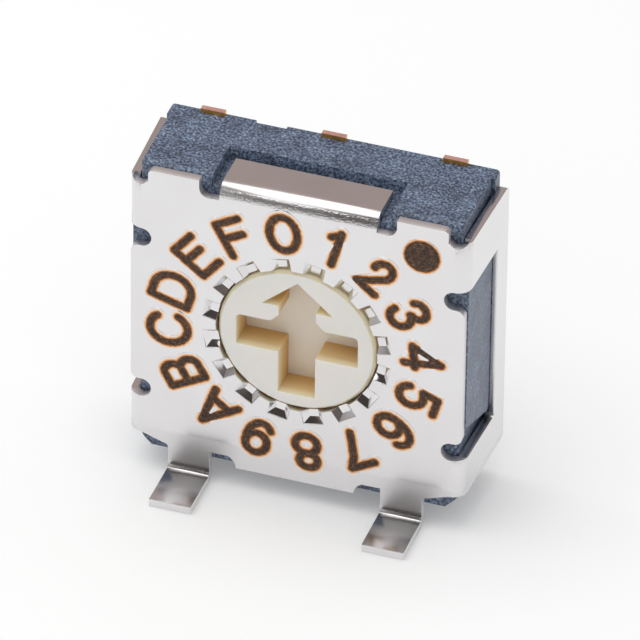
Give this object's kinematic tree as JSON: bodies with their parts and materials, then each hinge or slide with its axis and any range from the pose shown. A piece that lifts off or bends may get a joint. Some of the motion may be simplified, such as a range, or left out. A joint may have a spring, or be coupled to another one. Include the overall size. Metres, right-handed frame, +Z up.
{
  "type": "rotary dip switch",
  "caption": "Right-angle coded rotary switch for surface mounting, with a folded metal cover, an arrow-slotted rotor and a rear row of leads.",
  "frame": {"origin": "middle of the footprint, on the solder plane under the feet", "axes": "+X along the cover's width, +Y from the cover's front to the back, +Z up from the board"},
  "size_m": [0.0072, 0.0042, 0.0075],
  "materials": {
    "bright_steel": "satin",
    "grey_moulding": "matte",
    "ivory_moulding": "satin",
    "dark_rubber": "matte",
    "gold_plate": "satin"
  },
  "bodies": {
    "case": {"cover": "bright_steel", "housing": "grey_moulding", "terminal_common": "gold_plate", "terminal_1": "gold_plate", "terminal_2": "gold_plate", "terminal_4": "gold_plate", "terminal_8": "gold_plate"},
    "rotor": {"rotor": "ivory_moulding", "seal_ring": "dark_rubber", "code_disc": "gold_plate"}
  },
  "joints": [
    {"name": "rotor_turn", "type": "hinge", "parent": "case", "child": "rotor", "pos_m": [0, 0, 0.00395], "axis": [0, 1, 0], "continuous": true}
  ]
}
